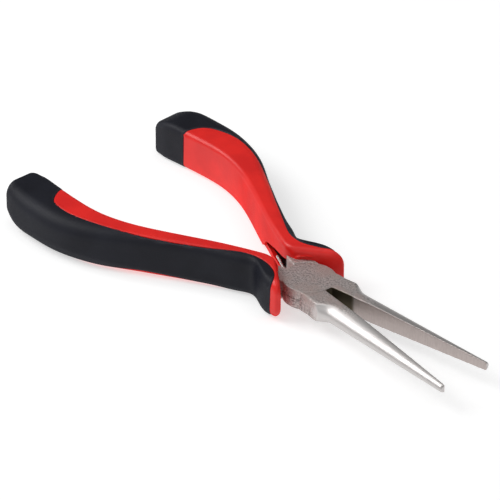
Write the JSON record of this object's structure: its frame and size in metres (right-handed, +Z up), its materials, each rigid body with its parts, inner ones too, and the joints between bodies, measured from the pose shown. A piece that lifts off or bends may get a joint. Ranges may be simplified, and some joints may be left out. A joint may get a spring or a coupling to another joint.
{
  "type": "half-round long-nose pliers",
  "caption": "Small hand pliers with long, smooth, half-round tapering jaws, a flush riveted lap joint that springs open, and curved two-part grips with guards.",
  "frame": {"origin": "centre of the tool's box, at the level it lies on; the pivot axis is at x = 11.7 mm, y = 0, and the joint's mid-plane at z = 5 mm", "axes": "+X runs along the centre line towards the jaw tips, +Y to the left handle, +Z up along the pivot axis"},
  "size_m": [0.1214, 0.0578, 0.01],
  "materials": {
    "forged_steel": "matte sand-textured joint faces, jaws ground bright",
    "rivet_steel": "ground flush with the joint",
    "spring_steel": "bright drawn wire",
    "red_grip": "smooth semi-gloss moulding",
    "black_pad": "soft matte overmould"
  },
  "bodies": {
    "right_half": {"right_handle_half": "forged_steel", "pivot_rivet": "rivet_steel", "return_spring": "spring_steel", "right_grip_core": "red_grip", "right_grip_pad": "black_pad"},
    "left_half": {"left_handle_half": "forged_steel", "left_grip_core": "red_grip", "left_grip_pad": "black_pad"}
  },
  "joints": [
    {"name": "jaw_hinge", "type": "hinge", "parent": "right_half", "child": "left_half", "pos_m": [0.0117, 0, 0.005], "axis": [0, 0, 1], "range_deg": [-24, 14.4], "stiffness_Nm_per_rad": 0.35, "deforming": ["return_spring"]}
  ]
}
